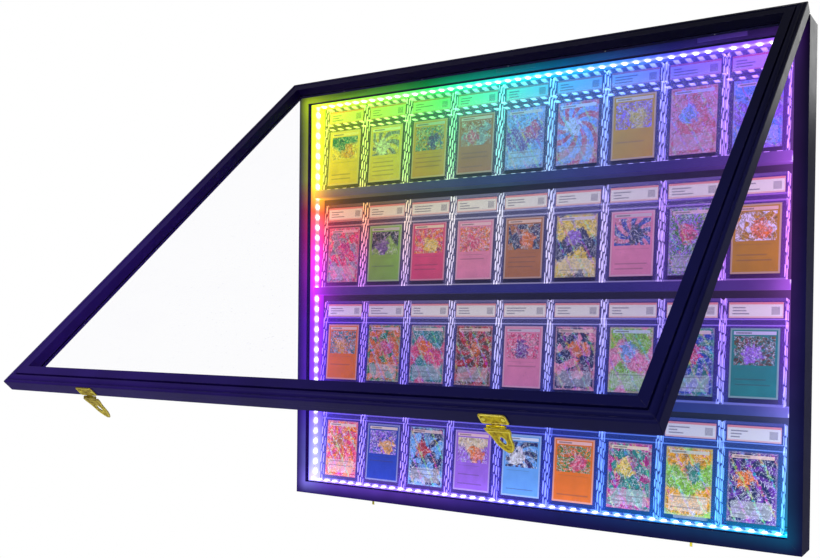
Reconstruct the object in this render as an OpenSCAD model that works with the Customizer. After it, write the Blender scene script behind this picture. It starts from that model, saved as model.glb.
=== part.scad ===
// Wall display case for card slabs: a black wooden case with a strip of lights round its inner
// walls, four rows of clear slabs on grooved shelves, and a moulded, glazed door hung along its top.
// Frame: X to the right, Y into the wall, Z up. The origin is the middle of the back face.
// The door is drawn open, and its hinge range runs from shut to level.

/* [Slabs] */
// Slabs side by side in a row
columns = 9; // [4:1:9]
// Width of a slab
slab_w = 82.5; // [80:0.5:86]
// Height of a slab
slab_h = 136.5; // [132:0.5:142]
// Thickness of a slab
slab_t = 6.35; // [5.5:0.05:7]
// Gap between neighbouring slabs
slab_gap = 2.1; // [1:0.1:6]
// Width of the raised rim round a slab
slab_rim_w = 3.4; // [2:0.1:4]
// Height of the raised rim over the slab's face
slab_rim_t = 0.7; // [0.4:0.05:1]
// Cut across a slab's corners
slab_corner = 2.4; // [1:0.1:3]
// Width of a card
card_w = 63.5; // [60:0.5:66]
// Height of a card in a slab of the usual height
card_h = 89; // [84:0.5:90]
// Thickness of a card
card_t = 0.4; // [0.3:0.05:0.5]
// Distance from the foot of a slab of the usual height to its card
card_foot = 9.5; // [7:0.5:10]
// Width of a label
label_w = 70; // [60:0.5:71]
// Height of a label in a slab of the usual height
label_h = 20; // [15:0.5:21]
// Thickness of a label
label_t = 0.3; // [0.2:0.05:0.4]
// Distance from the top of a slab of the usual height to its label
label_drop = 5; // [4.5:0.5:6]

/* [Case] */
// Depth of the case from the wall
case_depth = 41; // [41:1:60]
// Width of the boards as seen from the front
board_w = 18; // [16:1:26]
// How much thicker a board is behind its front lip
lip_step = 1.5; // [0.5:0.5:3]
// Depth of the front lip
lip_depth = 7; // [4:1:10]
// Room between the end slabs and the side walls
side_room = 8.85; // [6:0.05:16]
// Room over the slabs, to lift them out of their groove
lift_room = 9.8; // [5:0.1:20]
// Room over the slabs of the top row
top_room = 2; // [1:0.5:20]
// Distance from the front of a case of the usual depth to the slabs' feet
foot_setback = 21.3; // [21:0.1:22]
// Thickness of the back panel
panel_t = 3; // [2:0.5:3]
// Width of the rebate that holds the back panel
panel_rebate = 10.5; // [9:0.5:11]
// Clearance round the back panel
panel_gap = 0.2; // [0.1:0.1:0.5]

/* [Shelves] */
// Thickness of a shelf
shelf_t = 12; // [9:0.5:18]
// Distance from the front of a case of the usual depth to the shelves
shelf_setback = 12; // [6:1:16]
// How far a shelf is let into the side boards
shelf_let = 4; // [2:0.5:6]
// Depth of the groove that a slab's foot stands in
groove_depth = 1.2; // [0.8:0.1:2]
// Clearance in front of and behind a slab's foot
groove_gap = 0.3; // [0.2:0.1:0.4]

/* [Lights] */
// Width of the light tape
tape_w = 8; // [6:0.5:8]
// Thickness of the light tape
tape_t = 0.4; // [0.3:0.1:0.6]
// Distance between lights along the tape
chip_pitch = 16.667; // [12:0.1:34]
// Side of a square light chip
chip_side = 5; // [3:0.5:5]
// Height of a light chip
chip_t = 1.6; // [1:0.1:1.8]
// Depth of the middle of the side tapes in a case of the usual depth
side_tape_depth = 21.5; // [17:0.5:24]
// Depth of the middle of the top tape in a case of the usual depth
top_tape_depth = 21; // [12:0.5:24]
// Depth of the middle of the bottom tape in a case of the usual depth
bottom_tape_depth = 16.5; // [12:0.5:16.5]
// Length of bare wall left at each end of a tape
tape_end = 9; // [6:1:12]
// Bore of the power inlet in the bottom board
inlet_d = 8; // [6:0.5:8]
// Distance from the middle of the case to the power inlet
inlet_x = 300; // [280:10:340]

/* [Door] */
// How far the door is drawn open, in degrees
door_open = 45; // [0:5:90]
// Thickness of the door frame
rail_t = 16.5; // [15:0.5:22]
// Width of the door frame's rails
rail_w = 23.5; // [23:0.5:30]
// Space between the closed door and the case
door_gap = 1.2; // [1:0.1:1.4]
// Thickness of the clear pane
pane_t = 2; // [1.5:0.5:3]
// Distance from the back of the frame to the face of the pane
pane_seat = 5.5; // [5:0.5:7]
// Width of the rebate that holds the pane
pane_rebate = 7; // [5:0.5:8]
// Clearance round the pane
pane_gap = 0.5; // [0.2:0.1:1]
// Diameter of a closing bumper
bumper_d = 8; // [6:0.5:10]

/* [Hinges] */
// Length of a hinge
hinge_len = 64; // [50:2:90]
// Thickness of a hinge leaf
leaf_t = 1; // [0.8:0.1:1.4]
// Height of a hinge leaf
leaf_h = 14; // [10:0.5:16]
// Outer diameter of the hinge barrel
barrel_d = 3.6; // [3:0.1:5]
// Diameter of the hinge pin
pin_d = 1.6; // [1.2:0.1:2]
// Radial clearance of a pin in the knuckles that turn on it
pin_play = 0.05; // [0.02:0.01:0.08]
// Distance of the outer hinges from the middle one
hinge_spacing = 300; // [120:10:320]

/* [Hasps] */
// Distance of each hasp from the middle of the case
hasp_x = 262.5; // [100:2.5:350]
// Width of a hasp plate
hasp_w = 27; // [24:1:36]
// Thickness of the hasp's sheet brass
hasp_t = 0.9; // [0.7:0.1:1.1]
// Depth of the hasp plate on the edge of the door
hasp_plate_d = 12; // [10:0.5:13]
// Length of the tongue from its pin to its tip
tongue_len = 33; // [31:0.5:36]
// Distance from the pin to the middle of the slot in the tongue
slot_mid = 17.2; // [16:0.1:19]
// Length of the slot in the tongue
slot_len = 10; // [9:0.5:12]
// Width of the slot in the tongue
slot_w = 5.2; // [4.6:0.1:6]
// Outer diameter of the hasp's barrel
hasp_barrel_d = 3; // [2.6:0.1:3.6]
// Diameter of the hasp's pin
hasp_pin_d = 1.2; // [0.8:0.1:1.6]
// How far the keeper's hook reaches under the case
hook_drop = 9.5; // [5:0.5:10.5]

/* [Hangers] */
// Distance between the two hangers
hanger_spacing = 406.4; // [200:0.2:500]
// Diameter of the hole that goes over a screw head
hanger_hole_d = 9.5; // [8:0.5:10]
// Width of the slot above that hole
hanger_slot_w = 4.6; // [3.5:0.1:5]

/* [Hidden] */
rows = 4;
$fn = 32;
cut = 1;
touch = 0.02;
joint_gap = 0.05;
bore_play = 0.05;
usual_slab_h = 136.5;
usual_case_depth = 41;

// A deeper case only brings its front and its door forward: what it holds keeps its place at the wall
front_y = -case_depth;
panel_face = -panel_t;
stage_y = -usual_case_depth;
foot_y = stage_y + foot_setback;

// Slabs stand on their rear foot edge and lean back on the panel
lean_room = panel_face - touch - foot_y;
lean = asin(lean_room / norm([slab_h, slab_t])) - atan2(slab_t, slab_h);
slab_stand = slab_h * cos(lean) + slab_t * sin(lean);
slab_pitch = slab_w + slab_gap;
shell_split = slab_t / 2;
pocket_d = 0.5;
pocket_play = 0.3;
ridge_t = 1.5;
slab_share = slab_h / usual_slab_h;
card_low = card_foot * slab_share;
card_top = card_low + card_h * slab_share;
label_high = slab_h - label_drop * slab_share;
label_low = label_high - label_h * slab_share;
groove_w = slab_t * cos(lean) + groove_depth * tan(lean) + 2 * groove_gap;

// The case is as large as its slabs need
wall_t = board_w + lip_step;
inner_w = columns * slab_pitch - slab_gap + 2 * side_room;
row_pitch = slab_stand - groove_depth + lift_room + shelf_t;
inner_h = (rows - 1) * row_pitch + slab_stand - groove_depth + top_room;
case_w = inner_w + 2 * wall_t;
case_h = inner_h + 2 * wall_t;
floor_z = -case_h / 2 + wall_t;
roof_z = floor_z + inner_h;
shelf_y = stage_y + shelf_setback;

// The back panel and its countersunk screws
panel_half_w = case_w / 2 - wall_t + panel_rebate - panel_gap;
panel_low = -case_h / 2 + wall_t - panel_rebate + panel_gap;
panel_high = case_h / 2 - wall_t - panel_gap;
panel_screw_r = 1.3;
panel_head_r = 2.8;
panel_head_t = 1.4;
panel_screw_len = 14;
panel_screw_in = 6;
corner_screw_in = 14;
side_screw_x = panel_half_w - panel_screw_in;
foot_screw_z = panel_low + panel_screw_in;
side_screw_low = foot_screw_z + corner_screw_in;
side_screw_high = panel_high - corner_screw_in;
panel_screw_places = concat(
    [for (k = [-1 : 1]) [k * side_screw_x * 0.6, foot_screw_z]],
    [for (s = [-1, 1]) for (k = [0 : 3])
        [s * side_screw_x, side_screw_low + k * (side_screw_high - side_screw_low) / 3]]
);

// Lights
side_tape_y = stage_y + side_tape_depth;
top_tape_y = stage_y + top_tape_depth;
bottom_tape_y = stage_y + bottom_tape_depth;
tape_room = tape_t + chip_t + 1;
notch_back = side_tape_y + tape_w / 2 + 1;
across_tape = inner_w - 2 * tape_end;
up_tape = inner_h - 2 * tape_end;
link_w = 5;

// The power inlet stands in the bottom board, behind the slabs' feet
nut_wall = 0.8;
inlet_y = panel_face - inlet_d / 2 - nut_wall - 0.3;
inlet_flange_t = 1.5;
inlet_flange_w = 1.5;
inlet_wall = 1.2;
inlet_socket = 12;
inlet_rise = wall_t + 3;
nut_t = 1.8;
controller_size = [46, 6.2, 12];
controller_off = 45;
controller_x = inlet_x - controller_off;
controller_z = floor_z + 3;
controller_end = controller_x + controller_size[0] / 2;
lead_d = 1.2;
lead_bend = 0.12;
lead_y = panel_face - lead_d / 2 - lead_bend;
feed_z = controller_z + controller_size[2] / 2;
tape_lead_z = feed_z - 3;
tape_lead_x = inner_w / 2 - tape_end / 2;

// The hinge line runs over the gap between case and door
hinge_y = front_y - door_gap / 2;
hinge_z = case_h / 2 + barrel_d / 2 + 0.2;
door_back = front_y - door_gap;
door_w = case_w;
door_h = case_h;
leaf_sink = leaf_t - (door_gap / 2 - joint_gap);
knuckle_count = 5;
knuckle_gap = 0.3;
knuckle_len = (hinge_len - (knuckle_count - 1) * knuckle_gap) / knuckle_count;
pin_over = 0.6;
hinge_places = [-hinge_spacing, 0, hinge_spacing];
hinge_screw_x = hinge_len / 2 - 10;
hinge_screw_z = case_h / 2 - leaf_h / 2 - 0.5;
small_screw_r = 0.9;
small_head_r = 1.7;
small_head_t = 0.5;
small_sink_t = 0.7;
small_screw_len = 8;

// Door moulding, as distances from the outer edge and from the back
base_t = rail_t - 3.5;
band_w = rail_w - 12.5;
ovolo_r = 4.6;
ovolo_in = 7.9;
bead_r = 2;
retainer_w = pane_rebate - 1.2;
retainer_t = pane_seat - pane_t - 0.4;
retainer_low = 0.3;
brad_r = 0.5;
brad_len = retainer_w + 5;
bumper_t = door_gap - 0.1;
bumper_in = 8.5;

// Hasps hang from the door's lower edge and reach under the case
hasp_axis_y = door_back + 1.5;
hasp_axis_z = -case_h / 2 - hasp_barrel_d / 2 - 0.35;
hasp_corner = 2.5;
hasp_inset = 0.3;
hasp_plate_y = door_back - hasp_inset - hasp_plate_d / 2;
hasp_screw_x = hasp_w / 2 - 4;
mid_knuckle = 8;
ear_low = mid_knuckle / 2 + 0.2;
ear_len = 4.8;
tongue_start = hasp_barrel_d / 2 + 0.25;
keeper_t = 0.8;
keeper_w = 18;
keeper_d = 7;
keeper_corner = 2;
keeper_y = hasp_axis_y + slot_mid;
keeper_screw_x = 6;
hook_w = 3.2;
hook_t = 1;
hook_curl_r = 0.8;

// Hangers let into the top board
hanger_w = 36;
hanger_h = 17;
hanger_t = 1.5;
hanger_rise = 6;
hanger_rim = 1.2;
hanger_z = case_h / 2 - wall_t / 2;
hanger_hole_z = hanger_z - hanger_h / 2 + hanger_hole_d / 2 + hanger_rim;
hanger_pocket = 7;
hanger_screw_x = 14;

module wood() { color([0.09, 0.09, 0.11]) children(); }
module brass() { color([0.83, 0.66, 0.28]) children(); }
module steel() { color([0.72, 0.73, 0.75]) children(); }
module enamel() { color([0.13, 0.12, 0.14]) children(); }
module clear_shell() { color([0.85, 0.92, 0.95, 0.35]) children(); }

// Moves a part from its place on the closed door to its place on the open one
module swung() {
    translate([0, hinge_y, hinge_z])
        rotate([-door_open, 0, 0])
            translate([0, -hinge_y, -hinge_z])
                children();
}

// A bar along X, mitred at both ends. Its outline is [depth, distance from the outer edge].
module mitred_bar(length, width) {
    intersection() {
        rotate([90, 0, 90])
            linear_extrude(length, center = true)
                children();
        translate([0, case_depth + cut, 0])
            rotate([90, 0, 0])
                linear_extrude(case_depth + 2 * cut)
                    polygon([[-length / 2, 0], [length / 2, 0],
                             [length / 2 - width, width], [-length / 2 + width, width]]);
    }
}

// Turns a bar that lies along the lower edge to one of the four edges
module on_edge(edge, half_w, half_h) {
    if (edge == "top") translate([0, 0, half_h]) mirror([0, 0, 1]) children();
    if (edge == "bottom") translate([0, 0, -half_h]) children();
    if (edge == "left") translate([-half_w, 0, 0]) rotate([0, 90, 0]) children();
    if (edge == "right") translate([half_w, 0, 0]) rotate([0, -90, 0]) children();
}

// Section of a case board, front at 0 and wall side at case_depth
module board_section(rebate) {
    difference() {
        square([case_depth, wall_t]);
        translate([-cut, board_w])
            square([lip_depth + cut, wall_t]);
        translate([case_depth - panel_t, wall_t - rebate])
            square([panel_t + cut, rebate + cut]);
    }
}

module case_board(edge, length, rebate) {
    translate([0, front_y, 0])
        on_edge(edge, case_w / 2, case_h / 2)
            mitred_bar(length, wall_t)
                board_section(rebate);
}

// A countersunk screw or its bore, its head at z = 0 and its shank along +Z
module sunk_screw(length, r, head_r, head_t, play) {
    union() {
        cylinder(length, r = r + play);
        cylinder(head_t, head_r + play, r + play);
    }
}

// A screw or its bore with a low round head below z = 0 and its shank along +Z
module round_screw(play) {
    union() {
        cylinder(small_screw_len, r = small_screw_r + play);
        translate([0, 0, -small_head_t])
            cylinder(small_head_t, r = small_head_r);
    }
}

// A flat outline with rounded corners, centred
module rounded_plate(w, d, r) {
    union() {
        square([w, d - 2 * r], center = true);
        square([w - 2 * r, d], center = true);
        for (sx = [-1, 1])
            for (sy = [-1, 1])
                translate([sx * (w / 2 - r), sy * (d / 2 - r)])
                    circle(r);
    }
}

module panel_screw_set(play) {
    for (p = panel_screw_places)
        translate([p[0], 0, p[1]])
            rotate([90, 0, 0])
                sunk_screw(panel_screw_len, panel_screw_r, panel_head_r, panel_head_t, play);
}

module hanger_screw_set(play) {
    for (s = [-1, 1])
        for (k = [-1, 1])
            translate([s * hanger_spacing / 2 + k * hanger_screw_x, 0, hanger_z])
                rotate([90, 0, 0])
                    sunk_screw(panel_screw_len, panel_screw_r, panel_head_r, panel_head_t, play);
}

// The screws of the hinge leaves: into the case where way is 1, into the door where it is -1
module hinge_screw_set(way, play) {
    for (x = hinge_places)
        for (k = [-1, 1])
            translate([x + k * hinge_screw_x, hinge_y + way * joint_gap, hinge_screw_z])
                rotate([-way * 90, 0, 0])
                    sunk_screw(small_screw_len, small_screw_r, small_head_r, small_sink_t, play);
}

module hasp_screw_set(play) {
    for (s = [-1, 1])
        for (k = [-1, 1])
            translate([s * hasp_x + k * hasp_screw_x, hasp_plate_y, -case_h / 2 - hasp_t])
                round_screw(play);
}

module keeper_screw_set(play) {
    for (s = [-1, 1])
        for (k = [-1, 1])
            translate([s * hasp_x + k * keeper_screw_x, keeper_y, -case_h / 2 - keeper_t])
                round_screw(play);
}

// The recess for a hanger plate and the pocket behind it for the head of a wall screw
module hanger_recess() {
    for (s = [-1, 1])
        translate([s * hanger_spacing / 2, 0, hanger_z]) {
            translate([-hanger_w / 2 - joint_gap, -hanger_t, -hanger_h / 2 - joint_gap])
                cube([hanger_w + 2 * joint_gap, hanger_t + cut, hanger_h + 2 * joint_gap]);
            translate([-hanger_hole_d / 2 - 1, -hanger_pocket, -hanger_h / 2 + 1])
                cube([hanger_hole_d + 2, hanger_pocket + cut, hanger_h - 2]);
        }
}

// Pockets for the hinge leaves in the face at the given Y
module hinge_leaf_pocket(face) {
    for (x = hinge_places)
        translate([x - hinge_len / 2 - joint_gap, face - leaf_sink, case_h / 2 - leaf_h - joint_gap])
            cube([hinge_len + 2 * joint_gap, 2 * leaf_sink, leaf_h + cut]);
}

// Top face of a shelf. Shelf 1 is the highest, and carries row 1. Shelf "rows" is the floor.
function shelf_top(k) = floor_z + (rows - k) * row_pitch;

// Groove in which the feet of a row of slabs stand
module slab_groove(k) {
    translate([-inner_w / 2 + side_room - 2, foot_y - groove_gap, shelf_top(k) - groove_depth])
        cube([inner_w - 2 * side_room + 4, groove_w, groove_depth + cut]);
}

module case_top_board() {
    wood() difference() {
        case_board("top", case_w, 0);
        hanger_recess();
        hanger_screw_set(bore_play);
        hinge_leaf_pocket(front_y);
        hinge_screw_set(1, bore_play);
    }
}

module case_bottom_board() {
    wood() difference() {
        case_board("bottom", case_w, panel_rebate);
        slab_groove(rows);
        panel_screw_set(bore_play);
        keeper_screw_set(bore_play);
        translate([inlet_x, inlet_y, -case_h / 2 - cut])
            cylinder(wall_t + 2 * cut, d = inlet_d + 2 * joint_gap);
    }
}

// A side board, with a stopped dado for the end of each shelf
module side_board(edge, side) {
    wood() difference() {
        case_board(edge, case_h, panel_rebate);
        for (k = [1 : rows - 1])
            translate([side * inner_w / 2 - shelf_let, notch_back - joint_gap, shelf_top(k) - shelf_t])
                cube([2 * shelf_let, panel_face - notch_back + 2 * joint_gap, shelf_t + joint_gap]);
        panel_screw_set(bore_play);
    }
}

module case_left_board() { side_board("left", -1); }
module case_right_board() { side_board("right", 1); }

module back_panel() {
    color([0.12, 0.11, 0.12]) difference() {
        translate([-panel_half_w, panel_face, panel_low])
            cube([2 * panel_half_w, panel_t, panel_high - panel_low]);
        panel_screw_set(bore_play);
    }
}

module back_panel_screws() { steel() panel_screw_set(0); }

module shelf(k) {
    wood() difference() {
        union() {
            translate([-inner_w / 2 + tape_room, shelf_y, shelf_top(k) - shelf_t])
                cube([inner_w - 2 * tape_room, panel_face - shelf_y, shelf_t]);
            translate([-inner_w / 2 - shelf_let + joint_gap, notch_back, shelf_top(k) - shelf_t])
                cube([inner_w + 2 * (shelf_let - joint_gap), panel_face - notch_back, shelf_t]);
        }
        slab_groove(k);
    }
}

// A light tape of a given length along X, lying on z = 0
module tape(length) {
    color([0.93, 0.93, 0.9])
        translate([-length / 2, -tape_w / 2, 0])
            cube([length, tape_w, tape_t]);
}

// The chips of one tape, at an even pitch about its middle
module chip_row(length) {
    count = floor((length - chip_side) / chip_pitch);
    for (k = [0 : count])
        translate([(k - count / 2) * chip_pitch - chip_side / 2, -chip_side / 2, tape_t])
            cube([chip_side, chip_side, chip_t]);
}

module on_roof() { translate([0, top_tape_y, roof_z]) rotate([180, 0, 0]) children(); }
module on_floor() { translate([0, bottom_tape_y, floor_z]) children(); }
module on_side(side) {
    translate([side * inner_w / 2, side_tape_y, 0]) rotate([0, -side * 90, 0]) children();
}

module led_tape_top() { on_roof() tape(across_tape); }
module led_tape_bottom() { on_floor() tape(across_tape); }
module led_tape_left() { on_side(-1) tape(up_tape); }
module led_tape_right() { on_side(1) tape(up_tape); }

module led_chips() {
    color([1, 0.98, 0.9]) {
        on_roof() chip_row(across_tape);
        on_floor() chip_row(across_tape);
        on_side(-1) chip_row(up_tape);
        on_side(1) chip_row(up_tape);
    }
}

// A bent flat link that joins two tapes in a corner, at the roof or at the floor
module corner_link(side, tape_y, at_roof) {
    low = min(tape_y, side_tape_y) - link_w / 2;
    deep = abs(tape_y - side_tape_y) + link_w;
    flat_x = side > 0 ? inner_w / 2 - tape_end : -inner_w / 2;
    wall_x = side > 0 ? inner_w / 2 - tape_t : -inner_w / 2;
    flat_z = at_roof ? roof_z - tape_t : floor_z;
    wall_z = at_roof ? roof_z - tape_end : floor_z;
    union() {
        translate([flat_x, low, flat_z])
            cube([tape_end, deep, tape_t]);
        translate([wall_x, low, wall_z])
            cube([tape_t, deep, tape_end]);
    }
}

module led_corner_links() {
    color([0.9, 0.9, 0.86]) {
        corner_link(-1, top_tape_y, true);
        corner_link(1, top_tape_y, true);
        corner_link(-1, bottom_tape_y, false);
    }
}

module power_inlet() {
    color([0.15, 0.15, 0.16]) translate([inlet_x, inlet_y, -case_h / 2]) difference() {
        union() {
            translate([0, 0, -inlet_flange_t])
                cylinder(inlet_flange_t, d = inlet_d + 2 * inlet_flange_w);
            cylinder(inlet_rise, d = inlet_d);
        }
        translate([0, 0, -inlet_flange_t - cut])
            cylinder(inlet_socket + cut, d = inlet_d - 2 * inlet_wall);
    }
}

module power_inlet_nut() {
    steel() translate([inlet_x, inlet_y, floor_z]) difference() {
        cylinder(nut_t, d = (inlet_d + 2 * nut_wall) / cos(30), $fn = 6);
        translate([0, 0, -cut])
            cylinder(nut_t + 2 * cut, d = inlet_d + 2 * touch);
    }
}

module led_controller() {
    color([0.88, 0.88, 0.86])
        translate([controller_end - controller_size[0], panel_face - controller_size[1], controller_z])
            cube(controller_size);
}

// One straight run of lead, turned from Z, with a small round bend at its start
module lead_run(from, length, turn) {
    translate(from) {
        sphere(d = lead_d + lead_bend);
        rotate(turn)
            cylinder(length, d = lead_d);
    }
}

// The feed from the inlet to the controller, and the lead on to the start of the tapes
module led_leads() {
    along = [0, 90, 0];
    feed_low = -case_h / 2 + inlet_rise;
    wall_x = inner_w / 2 - lead_d / 2 - lead_bend;
    color([0.75, 0.1, 0.1]) union() {
        translate([controller_end, inlet_y, feed_z])
            rotate(along)
                cylinder(inlet_x - controller_end, d = lead_d);
        lead_run([inlet_x, inlet_y, feed_z], feed_z - feed_low, [180, 0, 0]);
    }
    color([0.12, 0.12, 0.12]) union() {
        translate([controller_end, lead_y, tape_lead_z])
            rotate(along)
                cylinder(tape_lead_x - controller_end, d = lead_d);
        lead_run([tape_lead_x, lead_y, tape_lead_z], lead_y - side_tape_y, [90, 0, 0]);
        lead_run([tape_lead_x, side_tape_y, tape_lead_z], wall_x - tape_lead_x, along);
        lead_run([wall_x, side_tape_y, tape_lead_z], floor_z + tape_end - tape_lead_z, [0, 0, 0]);
    }
}

// Keyhole plates: the hole drops over a screw head and the slot slides down on its shank
module wall_hangers() {
    steel() for (s = [-1, 1])
        difference() {
            translate([s * hanger_spacing / 2 - hanger_w / 2, -hanger_t, hanger_z - hanger_h / 2])
                cube([hanger_w, hanger_t, hanger_h]);
            translate([s * hanger_spacing / 2, cut, hanger_hole_z])
                rotate([90, 0, 0])
                    union() {
                        cylinder(hanger_t + 2 * cut, d = hanger_hole_d);
                        translate([0, hanger_rise, 0])
                            cylinder(hanger_t + 2 * cut, d = hanger_slot_w);
                        translate([-hanger_slot_w / 2, 0, 0])
                            cube([hanger_slot_w, hanger_rise, hanger_t + 2 * cut]);
                    }
            hanger_screw_set(bore_play);
        }
}

module hanger_screws() { steel() hanger_screw_set(0); }

// One hinge leaf: a plate whose near face is at y0, tabs, and every second knuckle from "first"
module hinge_leaf(x, y0, first, play) {
    difference() {
        union() {
            translate([x - hinge_len / 2, y0, case_h / 2 - leaf_h])
                cube([hinge_len, leaf_t, leaf_h]);
            for (k = [first : 2 : knuckle_count - 1])
                translate([x - hinge_len / 2 + k * (knuckle_len + knuckle_gap), 0, 0]) {
                    translate([0, y0, case_h / 2 - 0.5])
                        cube([knuckle_len, leaf_t, hinge_z - case_h / 2 + 0.5]);
                    translate([0, hinge_y, hinge_z])
                        rotate([0, 90, 0])
                            cylinder(knuckle_len, d = barrel_d);
                }
        }
        translate([x - hinge_len / 2 - cut, hinge_y, hinge_z])
            rotate([0, 90, 0])
                cylinder(hinge_len + 2 * cut, d = pin_d + 2 * play);
    }
}

module hinge_case_leaves() {
    enamel() for (x = hinge_places)
        difference() {
            hinge_leaf(x, hinge_y + joint_gap, 0, touch);
            hinge_screw_set(1, bore_play);
        }
}

module hinge_door_leaves() {
    enamel() swung() for (x = hinge_places)
        difference() {
            hinge_leaf(x, hinge_y - joint_gap - leaf_t, 1, pin_play);
            hinge_screw_set(-1, bore_play);
        }
}

module hinge_pins() {
    enamel() for (x = hinge_places)
        translate([x - hinge_len / 2 - pin_over, hinge_y, hinge_z])
            rotate([0, 90, 0])
                cylinder(hinge_len + 2 * pin_over, d = pin_d);
}

module hinge_case_screws() { enamel() hinge_screw_set(1, 0); }
module hinge_door_screws() { enamel() swung() hinge_screw_set(-1, 0); }

// Section of a door rail, front at 0: an outer bead, an ovolo, a flat band and the pane's rebate
module rail_section() {
    difference() {
        union() {
            translate([rail_t - base_t, 0])
                square([base_t, rail_w]);
            translate([0, rail_w - band_w])
                square([rail_t, band_w]);
            translate([ovolo_r, ovolo_in])
                circle(ovolo_r);
            translate([rail_t - base_t, bead_r])
                circle(bead_r);
        }
        translate([rail_t - pane_seat, rail_w - pane_rebate])
            square([pane_seat + cut, pane_rebate + cut]);
    }
}

module rail(edge, length) {
    translate([0, door_back - rail_t, 0])
        on_edge(edge, door_w / 2, door_h / 2)
            mitred_bar(length, rail_w)
                rail_section();
}

// Brads through the retainers of one edge into the rail, as a row along X on the lower edge
module brad_row(edge, count, pitch, play) {
    brad_start = rail_w - pane_rebate + 0.2 + retainer_w - brad_len;
    translate([0, door_back - retainer_low - retainer_t / 2, 0])
        on_edge(edge, door_w / 2, door_h / 2)
            for (k = [0 : count - 1])
                translate([(k - (count - 1) / 2) * pitch, 0, brad_start])
                    cylinder(brad_len, r = brad_r + play);
}

module brad_set(play) {
    brad_row("top", 5, door_w / 5.5, play);
    brad_row("bottom", 5, door_w / 5.5, play);
    brad_row("left", 4, door_h / 4.5, play);
    brad_row("right", 4, door_h / 4.5, play);
}

module door_top_rail() {
    wood() swung() difference() {
        rail("top", door_w);
        hinge_leaf_pocket(door_back);
        hinge_screw_set(-1, bore_play);
        brad_set(bore_play);
    }
}

module door_bottom_rail() {
    wood() swung() difference() {
        rail("bottom", door_w);
        hasp_screw_set(bore_play);
        brad_set(bore_play);
    }
}

module door_side_rail(edge) {
    wood() swung() difference() {
        rail(edge, door_h);
        brad_set(bore_play);
    }
}

module door_left_rail() { door_side_rail("left"); }
module door_right_rail() { door_side_rail("right"); }

module door_pane() {
    pane_w = door_w - 2 * (rail_w - pane_rebate + pane_gap);
    pane_h = door_h - 2 * (rail_w - pane_rebate + pane_gap);
    color([0.8, 0.88, 0.95, 0.25]) swung()
        translate([-pane_w / 2, door_back - pane_seat, -pane_h / 2])
            cube([pane_w, pane_t, pane_h]);
}

module pane_retainers() {
    out_w = door_w / 2 - rail_w + pane_rebate - 0.2;
    out_h = door_h / 2 - rail_w + pane_rebate - 0.2;
    low_y = door_back - retainer_low - retainer_t;
    side_h = out_h - retainer_w - touch;
    wood() swung() difference() {
        for (s = [-1, 1]) {
            translate([-out_w, low_y, s * (out_h - retainer_w / 2) - retainer_w / 2])
                cube([2 * out_w, retainer_t, retainer_w]);
            translate([s * (out_w - retainer_w / 2) - retainer_w / 2, low_y, -side_h])
                cube([retainer_w, retainer_t, 2 * side_h]);
        }
        brad_set(bore_play);
    }
}

module retainer_brads() { steel() swung() brad_set(0); }

module door_bumpers() {
    color([0.3, 0.3, 0.3]) swung() for (s = [-1, 1])
        translate([s * (door_w / 2 - bumper_in), door_back, -door_h / 2 + bumper_in])
            rotate([-90, 0, 0])
                cylinder(bumper_t, d = bumper_d);
}

// The fixed half of a hasp, on the door's lower edge
module latch_plates() {
    brass() swung() for (s = [-1, 1])
        difference() {
            union() {
                translate([s * hasp_x, hasp_plate_y, -case_h / 2 - hasp_t])
                    linear_extrude(hasp_t)
                        rounded_plate(hasp_w, hasp_plate_d, hasp_corner);
                translate([s * hasp_x - mid_knuckle / 2, door_back - 2, -case_h / 2 - hasp_t - 0.35])
                    cube([mid_knuckle, hasp_axis_y - door_back + 2, hasp_t]);
                translate([s * hasp_x - mid_knuckle / 2, hasp_axis_y, hasp_axis_z])
                    rotate([0, 90, 0])
                        cylinder(mid_knuckle, d = hasp_barrel_d);
            }
            translate([s * hasp_x - hasp_w / 2, hasp_axis_y, hasp_axis_z])
                rotate([0, 90, 0])
                    cylinder(hasp_w, d = hasp_pin_d + 2 * touch);
            hasp_screw_set(bore_play);
        }
}

module latch_plate_screws() { brass() swung() hasp_screw_set(0); }

module latch_pins() {
    brass() swung() for (s = [-1, 1])
        translate([s * hasp_x - ear_low - ear_len - 0.3, hasp_axis_y, hasp_axis_z])
            rotate([0, 90, 0])
                cylinder(2 * (ear_low + ear_len + 0.3), d = hasp_pin_d);
}

// Half outline of a tongue as [share of the hasp's width, share of the tongue's length]
tongue_half = [[0.46, 0], [0.46, 0.1], [0.43, 0.18], [0.385, 0.27], [0.355, 0.36], [0.34, 0.46],
               [0.33, 0.57], [0.305, 0.68], [0.26, 0.78], [0.2, 0.87], [0.14, 0.94], [0.07, 1]];

function tongue_side(way) = [for (p = tongue_half)
    [way * p[0] * hasp_w, tongue_start + p[1] * (tongue_len - tongue_start)]];

function turned(list) = [for (k = [len(list) - 1 : -1 : 0]) list[k]];

// The slot is the overlap of two circles
module eye_slot() {
    eye_r = (pow(slot_len / 2, 2) + pow(slot_w / 2, 2)) / slot_w;
    intersection() {
        translate([eye_r - slot_w / 2, slot_mid]) circle(eye_r);
        translate([-eye_r + slot_w / 2, slot_mid]) circle(eye_r);
    }
}

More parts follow.
